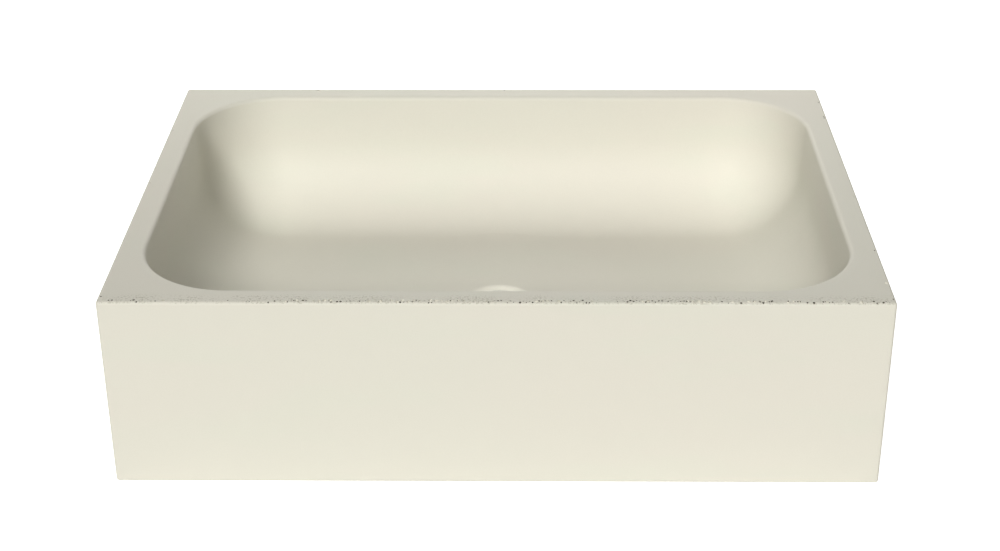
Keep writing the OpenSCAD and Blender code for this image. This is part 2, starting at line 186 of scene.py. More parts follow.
def skin(name, rings, closed=True):
    """A mesh over rings of equal length, with the last ring joined to the first."""
    count = len(rings[0])
    faces = []
    for k in range(len(rings) if closed else len(rings) - 1):
        here, above = k * count, (k + 1) % len(rings) * count
        for i in range(count):
            j = (i + 1) % count
            faces.append((here + i, here + j, above + j, above + i))
    mesh = bpy.data.meshes.new(name)
    mesh.from_pydata(np.concatenate(rings).tolist(), [], faces)
    mesh.update()
    return mesh


def shade(mesh, crease=38):
    """Smooth shading, with a hard line where two faces meet at more than crease degrees."""
    mesh.polygons.foreach_set("use_smooth", np.ones(len(mesh.polygons), bool))
    mesh.set_sharp_from_angle(angle=math.radians(crease))
    mesh.update()


def piece(name, mesh, body, slot, *nodes):
    """Puts a finished mesh in the scene, in place of its CAD nodes, on its body."""
    made = bpy.data.objects.new(name, mesh)
    bpy.context.scene.collection.objects.link(made)
    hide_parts(*nodes)
    if body:
        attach(made, body)
    return made


# Finish of the casting: fine cream concrete, sealed matt-satin. Three node groups give
# the cloudy drift of tone, the sandy grain, and the grittier band behind the top front
# edge, where the skin of cement is thinnest.
CREAM, CREAM_WARM, CREAM_COOL = (
    (0.726, 0.711, 0.636, 1), (0.733, 0.709, 0.637, 1), (0.721, 0.713, 0.634, 1))
FLECK_BROWN, GRIT_BROWN = (0.42, 0.39, 0.32, 1), (0.40, 0.38, 0.30, 1)
# The colours inside the pits are near black. This is painted shade laid over the greyer open
# concrete.
PIT_SHADE_DARK, PIT_SHADE_GREY = (0.045, 0.042, 0.03, 1), (0.12, 0.11, 0.08, 1)


def new_group(name, inputs, outputs):
    tree = bpy.data.node_groups.new(name, "ShaderNodeTree")
    for label, kind, value in inputs:
        socket = tree.interface.new_socket(name=label, in_out="INPUT", socket_type=kind)
        if value is not None:
            socket.default_value = value
    for label, kind in outputs:
        tree.interface.new_socket(name=label, in_out="OUTPUT", socket_type=kind)
    given = tree.nodes.new("NodeGroupInput").outputs
    return tree, given, tree.nodes.new("NodeGroupOutput").inputs


def plug(tree, kind, links=None, **settings):
    """A new node with its settings, and its inputs linked or set by name or number."""
    node = tree.nodes.new(kind)
    for key, value in settings.items():
        setattr(node, key, value)
    for key, source in (links or {}).items():
        socket = node.inputs[key]
        if isinstance(source, bpy.types.NodeSocket):
            tree.links.new(source, socket)
        else:
            socket.default_value = source
    return node


def sums(tree, operation, a, b=0.0, clamp=False):
    return plug(tree, "ShaderNodeMath", {0: a, 1: b},
                operation=operation, use_clamp=clamp).outputs[0]


def vectors(tree, operation, links, output=0):
    return plug(tree, "ShaderNodeVectorMath", links, operation=operation).outputs[output]


def spread(tree, value, low, high, out_low=0.0, out_high=1.0):
    """Maps low..high to out_low..out_high with soft ends."""
    return plug(tree, "ShaderNodeMapRange", {0: value, 1: low, 2: high, 3: out_low, 4: out_high},
                interpolation_type="SMOOTHSTEP").outputs[0]


def noise(tree, vector, scale, detail=2.0, roughness=0.5):
    return plug(tree, "ShaderNodeTexNoise", {
        "Vector": vector, "Scale": scale, "Detail": detail, "Roughness": roughness}).outputs[0]


def blend_colours(tree, share, first, second):
    return plug(tree, "ShaderNodeMix", {0: share, 6: first, 7: second},
                data_type="RGBA").outputs[2]


def cloudy_tone():
    """A colour that drifts to a warmer one in broad patches and to a cooler one in finer."""
    tree, given, out = new_group(
        "cloudy tone",
        [("Vector", "NodeSocketVector", None),
         ("Colour", "NodeSocketColor", CREAM), ("Warm", "NodeSocketColor", CREAM_WARM),
         ("Cool", "NodeSocketColor", CREAM_COOL), ("Scale", "NodeSocketFloat", 9.0)],
        [("Colour", "NodeSocketColor")])
    broad = noise(tree, given["Vector"], given["Scale"], 3.0)
    moved = vectors(tree, "ADD", {0: given["Vector"], 1: (3.1, 5.7, 1.9)})
    finer = noise(tree, moved, sums(tree, "MULTIPLY", given["Scale"], 2.6), 4.0)
    warmed = blend_colours(tree, spread(tree, broad, 0.42, 0.66), given["Colour"], given["Warm"])
    cooled = blend_colours(tree, spread(tree, finer, 0.48, 0.68), warmed, given["Cool"])
    tree.links.new(cooled, out["Colour"])
    return tree


def sandy_grain():
    """Flecks of sand, and the height of the fine and the wider waves of a cast face."""
    tree, given, out = new_group(
        "sandy grain",
        [("Vector", "NodeSocketVector", None), ("Scale", "NodeSocketFloat", 900.0)],
        [("Fleck", "NodeSocketFloat"), ("Height", "NodeSocketFloat")])
    coarse = noise(tree, given["Vector"], given["Scale"], 2.0, 0.6)
    wide = noise(tree, given["Vector"], sums(tree, "MULTIPLY", given["Scale"], 0.22), 3.0)
    tree.links.new(spread(tree, coarse, 0.3, 0.7), out["Fleck"])
    tree.links.new(sums(tree, "ADD", sums(tree, "MULTIPLY", coarse, 0.6), wide), out["Height"])
    return tree


def front_edge_band():
    """1 at the front edge of the top face, falling to 0 at Reach behind it, and 0 below it."""
    tree, given, out = new_group(
        "front edge band",
        [("Vector", "NodeSocketVector", None), ("Half depth", "NodeSocketFloat", BLOCK_D / 2),
         ("Height", "NodeSocketFloat", BLOCK_H), ("Reach", "NodeSocketFloat", 16 * MM)],
        [("Band", "NodeSocketFloat")])
    place = plug(tree, "ShaderNodeSeparateXYZ", {0: given["Vector"]}).outputs
    behind = sums(tree, "ADD", given["Half depth"], place[1])
    below = sums(tree, "SUBTRACT", given["Height"], place[2])
    share = sums(tree, "SUBTRACT", 1.0, sums(tree, "DIVIDE", behind, given["Reach"]), clamp=True)
    on_top = spread(tree, below, 0.5 * MM, 1.6 * MM, 1.0, 0.0)
    tree.links.new(sums(tree, "MULTIPLY", share, on_top), out["Band"])
    return tree


CLOUDY_TONE, SANDY_GRAIN, FRONT_EDGE_BAND = cloudy_tone(), sandy_grain(), front_edge_band()


def new_material(name, roughness, metallic=0.0, specular=0.5):
    made = bpy.data.materials.new(name)
    made.use_nodes = True
    shader = made.node_tree.nodes["Principled BSDF"].inputs
    shader["Roughness"].default_value = roughness
    shader["Metallic"].default_value = metallic
    shader["Specular IOR Level"].default_value = specular
    place = made.node_tree.nodes.new("ShaderNodeTexCoord").outputs["Object"]
    return made, made.node_tree, shader, place


def use_group(tree, group, links):
    return plug(tree, "ShaderNodeGroup", links, node_tree=group).outputs


def drifting(tree, place, colour, warm, cool, scale):
    return use_group(tree, CLOUDY_TONE, {
        "Vector": place, "Colour": colour, "Warm": warm, "Cool": cool, "Scale": scale})["Colour"]


def bumped(tree, height, strength, distance):
    return plug(tree, "ShaderNodeBump", {
        "Height": height, "Strength": strength, "Distance": distance}).outputs[0]


def concrete_material():
    made, tree, shader, place = new_material("cream concrete", 0.56, specular=0.2)
    drawn = vectors(tree, "MULTIPLY", {0: place, 1: (0.35, 0.8, 1.3)})
    tone = drifting(tree, drawn, CREAM, CREAM_WARM, CREAM_COOL, 8.0)
    grain = use_group(tree, SANDY_GRAIN, {"Vector": place, "Scale": 900.0})
    flecked = blend_colours(tree, sums(tree, "MULTIPLY", grain["Fleck"], 0.035), tone, FLECK_BROWN)
    band = use_group(tree, FRONT_EDGE_BAND, {"Vector": place})["Band"]
    grit = use_group(tree, SANDY_GRAIN, {"Vector": place, "Scale": 620.0})["Fleck"]
    patchy = spread(tree, noise(tree, place, 40.0), 0.38, 0.62, 0.16, 0.62)
    reach = sums(tree, "MULTIPLY", spread(tree, band, 0.1, 0.6), patchy)
    gritty = sums(tree, "MULTIPLY", spread(tree, grit, 0.5, 0.9), reach)
    tree.links.new(blend_colours(tree, gritty, flecked, GRIT_BROWN), shader["Base Color"])
    tree.links.new(spread(tree, grain["Fleck"], 0.0, 1.0, 0.52, 0.62), shader["Roughness"])
    rough = sums(tree, "ADD", grain["Height"], sums(tree, "MULTIPLY", gritty, -1.5))
    tree.links.new(bumped(tree, rough, 0.22, 0.25 * MM), shader["Normal"])
    return made


def pit_shade_material():
    """The face inside a pit: grey open concrete, made near black with painted shade."""
    made, tree, shader, place = new_material("open concrete with painted shade", 0.85, specular=0.2)
    grain = use_group(tree, SANDY_GRAIN, {"Vector": place, "Scale": 1400.0})
    tone = blend_colours(tree, grain["Fleck"], PIT_SHADE_DARK, PIT_SHADE_GREY)
    tree.links.new(tone, shader["Base Color"])
    tree.links.new(bumped(tree, grain["Height"], 0.5, 0.3 * MM), shader["Normal"])
    return made


CONCRETE, PIT_SHADE_CONCRETE = concrete_material(), pit_shade_material()


# Pits along the top outer edge: air that the concrete couldn't push out of the mould's
# arris. Small pebble shapes are scattered along it in clusters, most of them at the
# front, and are cut out of the casting in two goes, the large ones first.
FRONT_STRIP = (-190 * MM, -180 * MM)
PITTED_MIDDLE, PITTED_SPAN = 50 * MM, (100 * MM, 270 * MM)
FEWER_AT_ENDS, ELSEWHERE, DROP_SHARE = 0.35, 0.03, 0.3
# For each go: the inset from the block's faces, the scatter, the spacing, which keeps
# most pits clear of each other, the radius, the scale of the clusters, and the seed.
PIT_GOES_MM = ((2.7, 0.8, 3.9, 2.0, 50, 11), (2.5, 1.6, 2.2, 1.15, 60, 23))


def geometry_tree(name, sizes, others=()):
    """A tree with a mesh, sizes and other named values as its inputs, and a mesh out."""
    tree = bpy.data.node_groups.new(name, "GeometryNodeTree")
    mesh = ("Geometry", "NodeSocketGeometry")
    for label, kind in (mesh, *((size, "NodeSocketFloat") for size in sizes), *others):
        tree.interface.new_socket(name=label, in_out="INPUT", socket_type=kind)
    tree.interface.new_socket(name=mesh[0], in_out="OUTPUT", socket_type=mesh[1])
    given = tree.nodes.new("NodeGroupInput").outputs
    return tree, given, tree.nodes.new("NodeGroupOutput").inputs[0]


def scattered_points(tree, given):
    """Points thrown about a line that runs round the block, just inside its top edge."""
    inset = sums(tree, "MULTIPLY", given["Inset"], 2.0)
    path = plug(tree, "GeometryNodeCurvePrimitiveQuadrilateral", {
        "Width": sums(tree, "SUBTRACT", given["Width"], inset),
        "Height": sums(tree, "SUBTRACT", given["Depth"], inset)}).outputs[0]
    points = plug(tree, "GeometryNodeCurveToPoints", {"Curve": path, "Length": given["Spacing"]},
                  mode="LENGTH").outputs["Points"]
    height = sums(tree, "SUBTRACT", given["Height"], given["Drop"])
    lift = plug(tree, "ShaderNodeCombineXYZ", {2: height}).outputs[0]
    thrown = plug(tree, "FunctionNodeRandomValue", {
        "Min": (-0.1, -1, -0.2), "Max": (0.1, 1, 0.2), "Seed": given["Seed"]},
        data_type="FLOAT_VECTOR").outputs[0]
    jitter = vectors(tree, "SCALE", {0: thrown, "Scale": given["Scatter"]})
    offset = vectors(tree, "ADD", {0: lift, 1: jitter})
    return plug(tree, "GeometryNodeSetPosition", {
        "Geometry": points, "Offset": offset}).outputs[0]


def pebble(tree, given):
    """A ball with its sides pushed in, which still shows every side to its middle."""
    ball = plug(tree, "GeometryNodeMeshIcoSphere", {
        "Radius": given["Pit radius"], "Subdivisions": 2}).outputs[0]
    around = plug(tree, "GeometryNodeInputPosition").outputs[0]
    lumps = noise(tree, around, sums(tree, "DIVIDE", 0.9, given["Pit radius"]))
    pushed = vectors(tree, "SCALE", {
        0: around, "Scale": spread(tree, lumps, 0.3, 0.7, -0.4, 0.0)})
    shaped = plug(tree, "GeometryNodeSetPosition", {"Geometry": ball, "Offset": pushed}).outputs[0]
    # Its faces become the walls of the pits and take the pit colour, which holds painted shade.
    return plug(tree, "GeometryNodeSetMaterial", {
        "Geometry": shaped, "Material": given["Pit shade material"]}).outputs[0]


def pit_tree():
    tree, given, out = geometry_tree(
        "edge pits",
        ("Width", "Depth", "Height", "Inset", "Drop", "Scatter", "Spacing", "Pit radius",
         "Cluster scale", "Elsewhere"),
        (("Seed", "NodeSocketInt"), ("Pit shade material", "NodeSocketMaterial")))

    def drawn(step):
        """A random number from 0 to 1 for each point, its seed step past the tree's."""
        return plug(tree, "FunctionNodeRandomValue", {
            2: 0.0, 3: 1.0, 8: sums(tree, "ADD", given["Seed"], step)},
            data_type="FLOAT").outputs[1]

    where = plug(tree, "GeometryNodeInputPosition").outputs[0]
    x, y, _ = plug(tree, "ShaderNodeSeparateXYZ", {0: where}).outputs
    cluster = noise(tree, where, given["Cluster scale"], 2.0, 0.6)
    off_middle = sums(tree, "ABSOLUTE", sums(tree, "SUBTRACT", x, PITTED_MIDDLE))
    along = spread(tree, off_middle, *PITTED_SPAN, 1.0, FEWER_AT_ENDS)
    share = plug(tree, "ShaderNodeMix", {
        0: spread(tree, y, *FRONT_STRIP, 1.0, 0.0), 2: given["Elsewhere"], 3: along},
        data_type="FLOAT").outputs[0]
    chance = sums(tree, "MULTIPLY", spread(tree, cluster, 0.34, 0.60), share)
    kept = plug(tree, "FunctionNodeCompare", {0: drawn(7), 1: chance},
                data_type="FLOAT", operation="LESS_THAN").outputs[0]

    full_turn = (6.28, 6.28, 6.28)
    turned_by = plug(tree, "FunctionNodeRandomValue", {
        "Min": (0, 0, 0), "Max": full_turn, "Seed": sums(tree, "ADD", given["Seed"], 3)},
        data_type="FLOAT_VECTOR").outputs[0]
    scattered = plug(tree, "GeometryNodeInstanceOnPoints", {
        "Points": scattered_points(tree, given), "Selection": kept,
        "Instance": pebble(tree, given), "Rotation": turned_by,
        "Scale": spread(tree, drawn(5), 0.0, 1.0, 0.45, 1.0)}).outputs[0]
    pits = plug(tree, "GeometryNodeRealizeInstances", {"Geometry": scattered}).outputs[0]
    cut = plug(tree, "GeometryNodeMeshBoolean", {"Mesh 1": given["Geometry"], "Mesh 2": pits},
               operation="DIFFERENCE", solver="MANIFOLD").outputs[0]
    tree.links.new(plug(tree, "GeometryNodeRealizeInstances", {"Geometry": cut}).outputs[0], out)
    return tree


def through_tree(name, mesh, tree, values):
    """Runs a mesh through a geometry node tree with named values, and gives the plain mesh."""
    holder = bpy.data.objects.new(name, mesh)
    bpy.context.scene.collection.objects.link(holder)
    modifier = holder.modifiers.new(name, "NODES")
    modifier.node_group = tree
    for item in tree.interface.items_tree:
        if item.in_out == "INPUT" and item.name in values:
            modifier[item.identifier] = values[item.name]
    bpy.context.view_layer.update()
    graph = bpy.context.evaluated_depsgraph_get()
    made = bpy.data.meshes.new_from_object(holder.evaluated_get(graph), depsgraph=graph)
    holder.modifiers.clear()
    bpy.data.objects.remove(holder)
    made.name = name
    return made


casting, PITS = skin("casting_skin", casting_rings()), pit_tree()
casting.materials.append(CONCRETE)
for inset, scatter, spacing, radius, clusters, seed in PIT_GOES_MM:
    casting = through_tree("basin_casting", casting, PITS, {
        "Width": BLOCK_W, "Depth": BLOCK_D, "Height": BLOCK_H, "Inset": inset * MM,
        "Drop": DROP_SHARE * radius * MM, "Scatter": scatter * MM, "Spacing": spacing * MM,
        "Pit radius": radius * MM, "Cluster scale": clusters, "Elsewhere": ELSEWHERE,
        "Seed": seed, "Pit shade material": PIT_SHADE_CONCRETE})
shade(casting)
piece("basin_casting", casting, "basin", "concrete", "basin_body")


# The waste: flange, conical seat and threaded tail in one piece of plated brass, turned
# on a lathe, with four arms across its bore that carry the push cartridge. Its flange
# lies on the shoulder of the drain's well.
PIPE_PITCH = 25.4 / 11 * MM
TAIL_R_MM, TAIL_MESH_R_MM, TAIL_BORE_MM = 20.955, 20.215, 18.6
TAIL_LOW_MM, FREE_THREAD_MM, FLANGE_LOW_MM = 1, (1.6, 11.5), 37.5
FLANGE_R_MM, SPIDER_LOW_MM, SPIDER_HIGH_MM = 24.5, 24, 30
SPIDER_ARMS, ARM_W_MM = 4, 3
BRIGHT, BRIGHT_DULL = (0.80, 0.81, 0.82, 1), (0.74, 0.75, 0.77, 1)
YELLOW, YELLOW_DULL = (0.78, 0.60, 0.31, 1), (0.62, 0.45, 0.22, 1)
GREY, GREY_DULL = (0.66, 0.66, 0.67, 1), (0.58, 0.58, 0.60, 1)


def off_axis(tree, x, y):
    """The way out from the Z axis as a vector, and its length."""
    level = plug(tree, "ShaderNodeCombineXYZ", {0: x, 1: y}).outputs[0]
    return level, vectors(tree, "LENGTH", {0: level}, "Value")


def lathe_marks():
    """Fine rings round the Z axis, as a turned and polished face has."""
    tree, given, out = new_group(
        "lathe marks",
        [("Vector", "NodeSocketVector", None), ("Scale", "NodeSocketFloat", 4000.0)],
        [("Mark", "NodeSocketFloat")])
    x, y, z = plug(tree, "ShaderNodeSeparateXYZ", {0: given["Vector"]}).outputs
    line = plug(tree, "ShaderNodeCombineXYZ", {0: off_axis(tree, x, y)[1], 1: z}).outputs[0]
    tree.links.new(noise(tree, line, given["Scale"], 3.0), out["Mark"])
    return tree


LATHE_MARKS = lathe_marks()


def metal_material(name, colour, tarnish, roughness, marks, depth):
    """A turned metal: its colour dulls in soft patches and its marks follow the lathe."""
    made, tree, shader, place = new_material(name, roughness, metallic=1.0)
    mark = use_group(tree, LATHE_MARKS, {"Vector": place, "Scale": marks})["Mark"]
    tree.links.new(drifting(tree, place, colour, tarnish, colour, 45.0), shader["Base Color"])
    tree.links.new(spread(tree, mark, 0.3, 0.7, roughness * 0.8, roughness * 1.25),
                   shader["Roughness"])
    tree.links.new(bumped(tree, mark, 0.3, depth), shader["Normal"])
    return made


CHROME = metal_material("polished plate", BRIGHT, BRIGHT_DULL, 0.09, 2500.0, 0.004 * MM)
BRASS = metal_material("turned brass", YELLOW, YELLOW_DULL, 0.28, 3500.0, 0.02 * MM)
STEEL = metal_material("turned steel", GREY, GREY_DULL, 0.25, 3500.0, 0.02 * MM)


def turned(name, profile, segments=144, trim=None):
    """A ring turned from a closed profile of (radius, height) in mm, listed up its outer side.
    trim gives the largest radius at a height and an angle, for flats."""
    turns = 2 * math.pi * np.arange(segments) / segments
    rings = []
    for radius, z in profile:
        reach = np.full(segments, radius * MM)
        if trim:
            reach = np.minimum(reach, [trim(z, turn) * MM for turn in turns])
        rings.append(np.stack(
            [reach * np.cos(turns), reach * np.sin(turns), np.full(segments, z * MM)], axis=1))
    return skin(name, rings)


def end_tree(tree, geometry, material, out):
    """Ends a tree with no instances left and its material set."""
    real = plug(tree, "GeometryNodeRealizeInstances", {"Geometry": geometry}).outputs[0]
    tree.links.new(plug(tree, "GeometryNodeSetMaterial", {
        "Geometry": real, "Material": material}).outputs[0], out)
    return tree


def thread_tree():
    """Moves the points of a plain turned wall in and out, so that it becomes a screw thread."""
    tree, given, out = geometry_tree(
        "screw thread", ("Wall radius", "Pitch", "Depth", "Low", "High"),
        [("Material", "NodeSocketMaterial")])

    def math_of(operation, a, b=0.0, clamp=False):
        return sums(tree, operation, a, b, clamp)

    where = plug(tree, "GeometryNodeInputPosition").outputs[0]
    x, y, z = plug(tree, "ShaderNodeSeparateXYZ", {0: where}).outputs
    level, radius = off_axis(tree, x, y)
    off_wall = math_of("ABSOLUTE", math_of("SUBTRACT", radius, given["Wall radius"]))
    on_wall = math_of("LESS_THAN", off_wall, 0.05 * MM)
    turns = math_of("DIVIDE", math_of("ARCTAN2", y, x), 2 * math.pi)
    phase = math_of("SUBTRACT", math_of("DIVIDE", z, given["Pitch"]), turns)
    wave = math_of("COSINE", math_of("MULTIPLY", phase, 2 * math.pi))
    groove = math_of("ADD", 0.5, math_of("MULTIPLY", 0.5, wave))
    run_out = 0.6 * MM
    in_low = math_of("DIVIDE", math_of("SUBTRACT", z, given["Low"]), run_out, True)
    in_high = math_of("DIVIDE", math_of("SUBTRACT", given["High"], z), run_out, True)
    share = math_of("MULTIPLY", math_of("MULTIPLY", in_low, in_high),
                    math_of("MULTIPLY", groove, on_wall))
    moved = vectors(tree, "SCALE", {
        0: vectors(tree, "NORMALIZE", {0: level}),
        "Scale": math_of("MULTIPLY", share, given["Depth"])})
    cut = plug(tree, "GeometryNodeSetPosition", {
        "Geometry": given["Geometry"], "Offset": moved}).outputs[0]
    return end_tree(tree, cut, given["Material"], out)


THREAD = thread_tree()


def heights(low, high, step=0.19):
    count = max(1, round((high - low) / step))
    return [low + (high - low) * k / count for k in range(count + 1)]


def merged(name, meshes, material):
    """One mesh of several closed shells, all of one material."""
    points, faces, first = [], [], 0
    for mesh in meshes:
        points += [tuple(v.co) for v in mesh.vertices]
        faces += [tuple(first + i for i in p.vertices) for p in mesh.polygons]
        first += len(mesh.vertices)
    made = bpy.data.meshes.new(name)
    made.from_pydata(points, [], faces)
    made.materials.append(material)
    made.update()
    return made


def rounded_bar(length, width, height, edge, turn, start, low):
    """A bar along a ray from the Z axis, with its long edges rounded off."""
    half = width / 2
    section = []
    for cx, cz, first in ((half - edge, height - edge, 0), (edge - half, height - edge, 90),
                          (edge - half, edge, 180), (half - edge, edge, 270)):
        section += list(arc((cx, cz), edge, first, first + 90, 3))
    rings = []
    for along in (start + length, start):
        rings.append(np.array([
            (along * MM * math.cos(turn) - s * MM * math.sin(turn),
             along * MM * math.sin(turn) + s * MM * math.cos(turn), (low + h) * MM)
            for s, h in section]))
    bar = skin("bar", rings, closed=False)
    count = len(section)
    points = [tuple(v.co) for v in bar.vertices]
    ends = [tuple(range(count))[::-1], tuple(range(count, 2 * count))]
    capped = bpy.data.meshes.new("capped_bar")
    capped.from_pydata(points, [], [tuple(p.vertices) for p in bar.polygons] + ends)
    return capped


def waste_profile():
    """Up the tail, out under the flange, over its edge and down the seat and the bore."""
    return (
        [(18.9, TAIL_LOW_MM), (20.35, TAIL_LOW_MM)]
        + [(TAIL_R_MM, z) for z in heights(*FREE_THREAD_MM)]
        + [(20.7, 11.6), (TAIL_MESH_R_MM, 11.8), (TAIL_MESH_R_MM, 21.2), (20.7, 21.4),
           (TAIL_R_MM, 21.5), (TAIL_R_MM, FLANGE_LOW_MM), (24.2, FLANGE_LOW_MM)]
        + [(24.45, 37.65), (FLANGE_R_MM, 37.9), (FLANGE_R_MM, 39)]
        + list(arc((FLANGE_R_MM - 1, 39), 1, 15, 90, 5))
        + [(22, 40), (21.6, 39.97), (21.35, 39.8), (18.75, 35.7), (TAIL_BORE_MM, 35.2),
           (TAIL_BORE_MM, 1.3)])


threaded = through_tree(
    "waste_turning", turned("waste_turning", waste_profile(), 192), THREAD, {
        "Wall radius": TAIL_R_MM * MM, "Pitch": PIPE_PITCH, "Depth": -1.35 * MM,
        "Low": 1.7 * MM, "High": 11.3 * MM, "Material": CHROME})
boss = turned("boss", [
    (7.2, SPIDER_LOW_MM), (9.2, SPIDER_LOW_MM), (9.5, 24.3), (9.5, 29.7),
    (9.2, SPIDER_HIGH_MM), (7.2, SPIDER_HIGH_MM), (7.05, 29.85), (7.05, 24.15)], 96)
arms = [rounded_bar(length=10.3, width=ARM_W_MM, height=SPIDER_HIGH_MM - SPIDER_LOW_MM, edge=0.5,
                    turn=2 * math.pi / SPIDER_ARMS * k, start=9, low=SPIDER_LOW_MM)
        for k in range(SPIDER_ARMS)]
waste = merged("waste_fitting", [threaded, boss, *arms], CHROME)
shade(waste)
piece("waste_fitting", waste, "basin", "chrome", "waste_body")


# Seals and slip washer. Two black rubber rings bed the waste on the concrete, a thin one
# under the flange and a thick one under the hole, and a white plastic washer lets the
# nut turn without dragging the rubber. The nut's squeeze makes the rubber bulge a little.
RING_BORE_MM = 21.205
BLACK, BLACK_BLOOM = (0.022, 0.022, 0.023, 1), (0.040, 0.040, 0.041, 1)
WHITE, WHITE_BLOOM = (0.80, 0.80, 0.77, 1), (0.84, 0.84, 0.82, 1)


def soft_ring(outer, low, high, edge, bulge=0.0):
    return [
        (RING_BORE_MM + edge, low), (outer - edge - bulge, low), (outer - bulge, low + edge),
        (outer, (low + high) / 2), (outer - bulge, high - edge), (outer - edge - bulge, high),
        (RING_BORE_MM + edge, high), (RING_BORE_MM, high - edge), (RING_BORE_MM, low + edge)]


def plain_material(name, colour, lighter, roughness, scale, depth):
    """Rubber or moulded plastic: an even colour with a little bloom, and a fine skin."""
    made, tree, shader, place = new_material(name, roughness, specular=0.4)
    grain = use_group(tree, SANDY_GRAIN, {"Vector": place, "Scale": scale})
    tree.links.new(drifting(tree, place, colour, lighter, colour, 60.0), shader["Base Color"])
    tree.links.new(spread(tree, grain["Fleck"], 0.0, 1.0, roughness - 0.08, roughness + 0.08),
                   shader["Roughness"])
    tree.links.new(bumped(tree, grain["Height"], 0.3, depth), shader["Normal"])
    return made


RUBBER = plain_material("black rubber", BLACK, BLACK_BLOOM, 0.62, 2400.0, 0.02 * MM)
WHITE_PLASTIC = plain_material("white plastic", WHITE, WHITE_BLOOM, 0.38, 1800.0, 0.008 * MM)

for name, slot, material, node, profile in (
        ("flange_gasket", "rubber", RUBBER, "flange_seal", soft_ring(24.25, 36, 37.5, 0.2, 0.15)),
        ("under_washer", "rubber", RUBBER, "lower_seal", soft_ring(28.5, 22.5, 26, 0.4, 0.5)),
        ("slip_ring", "washer_plastic", WHITE_PLASTIC, "slip_washer",
         soft_ring(29, 21, 22.5, 0.2))):
    mesh = turned(name, profile)
    mesh.materials.append(material)
    shade(mesh)
    piece(name, mesh, "basin", slot, node)


# Back nut: a flat brass hexagon, 52 mm across its flats, with its corners turned down on
# both faces. It runs on the tail's thread and draws the flange down on its seal.
NUT_BORE_MM, NUT_FLATS_MM, NUT_LOW_MM, NUT_HIGH_MM = 20.265, 52, 12, 21
NUT_CHAMFER_MM, NUT_THREAD_EDGE_MM, NUT_REACH_MM = 1.5, 0.9, 40


def within_hexagon(z, turn):
    """The nut's largest radius at a height and an angle: its flats and turned corners."""
    corner = NUT_FLATS_MM / 2 / math.cos(math.pi / 6)
    side = (turn + math.pi / 6) % (math.pi / 3) - math.pi / 6
    flat = NUT_FLATS_MM / 2 / math.cos(side)
    return min(flat, corner - NUT_CHAMFER_MM + 2 * min(z - NUT_LOW_MM, NUT_HIGH_MM - z))


def nut_profile():
    low, high, bore, outer = NUT_LOW_MM, NUT_HIGH_MM, NUT_BORE_MM, NUT_REACH_MM
    turned_down = [0, 0.08, 0.16, 0.26, 0.36, 0.48, 0.62, 0.75]
    return (
        [(bore + NUT_THREAD_EDGE_MM, low)] + [(outer, low + t) for t in turned_down]
        + [(outer, (low + high) / 2)] + [(outer, high - t) for t in reversed(turned_down)]
        + [(bore + NUT_THREAD_EDGE_MM, high)]
        + [(bore, z)
           for z in reversed(heights(low + NUT_THREAD_EDGE_MM, high - NUT_THREAD_EDGE_MM))])


nut_blank = turned("nut_blank", nut_profile(), 180, within_hexagon)
nut = through_tree("back_nut_brass", nut_blank, THREAD, {
    "Wall radius": NUT_BORE_MM * MM, "Pitch": PIPE_PITCH, "Depth": 0.6 * MM,
    "Low": 12.9 * MM, "High": 20.1 * MM, "Material": BRASS})
shade(nut, 25)
piece("back_nut_brass", nut, "basin", "brass", "back_nut")


# Push cartridge: a white moulded barrel that screws into the spider, closed above by a
# turned bush. Inside, a brass rotor and the ribs of the plunger make the push latch.
# These stand inside the tail, as the model of the mechanism has them.
for node, material in (("cartridge_barrel", WHITE_PLASTIC), ("guide_bush", STEEL),
                       ("ratchet_rotor", BRASS), ("plunger", STEEL), ("lock_nut", STEEL)):
    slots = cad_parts[node].data.materials
    slots.clear()
    slots.append(material)


# Spring of the cartridge: steel wire wound in an even helix, its ends cut square. It stands between
# the barrel's floor and the rotor. In the real waste it stretches as the plug rises; here it is one
# fixed coil.
COIL_R, WIRE_R, COIL_TURNS = 3.7 * MM, 0.4 * MM, 6.0


def spring_tree():
    tree, given, out = geometry_tree(
        "coil spring", ("Turns", "Coil radius", "Wire radius", "Low", "Height"),
        [("Material", "NodeSocketMaterial")])
    helix = plug(tree, "GeometryNodeCurveSpiral", {
        "Resolution": 24, "Rotations": given["Turns"], "Start Radius": given["Coil radius"],
        "End Radius": given["Coil radius"], "Height": given["Height"]}).outputs[0]
    upright = plug(tree, "GeometryNodeSetCurveNormal", {"Curve": helix}, mode="Z_UP").outputs[0]
    lift = plug(tree, "ShaderNodeCombineXYZ", {2: given["Low"]}).outputs[0]
    lifted = plug(tree, "GeometryNodeSetPosition", {
        "Geometry": upright, "Offset": lift}).outputs[0]
    wire = plug(tree, "GeometryNodeCurvePrimitiveCircle", {
        "Resolution": 12, "Radius": given["Wire radius"]}).outputs[0]
    swept = plug(tree, "GeometryNodeCurveToMesh", {
        "Curve": lifted, "Profile Curve": wire, "Fill Caps": True}).outputs[0]
    return end_tree(tree, swept, given["Material"], out)


spring_low, spring_high = (edge.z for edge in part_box("cartridge_spring"))
coil = through_tree("spring_coil", bpy.data.meshes.new("spring_seed"), spring_tree(), {
    "Turns": COIL_TURNS, "Coil radius": COIL_R, "Wire radius": WIRE_R,
    "Low": spring_low + WIRE_R, "Height": spring_high - spring_low - 2 * WIRE_R,
    "Material": STEEL})
shade(coil)
spring = piece("spring_coil", coil, None, "steel", "cartridge_spring")
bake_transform(spring)


# Plug: a domed plated cap, screwed on the plunger and locked by a small nut. The skirt
# under it holds a rubber ring that closes on the conical seat when the plug is down.
CAP_R_MM, CAP_CROWN_Z_MM, CAP_RISE_MM = 22, 42.9, 1
SEAL_CENTRE_MM, SEAL_WIRE_R_MM, GROOVE_R_MM = (18.276, 38.4), 1.5, 1.55


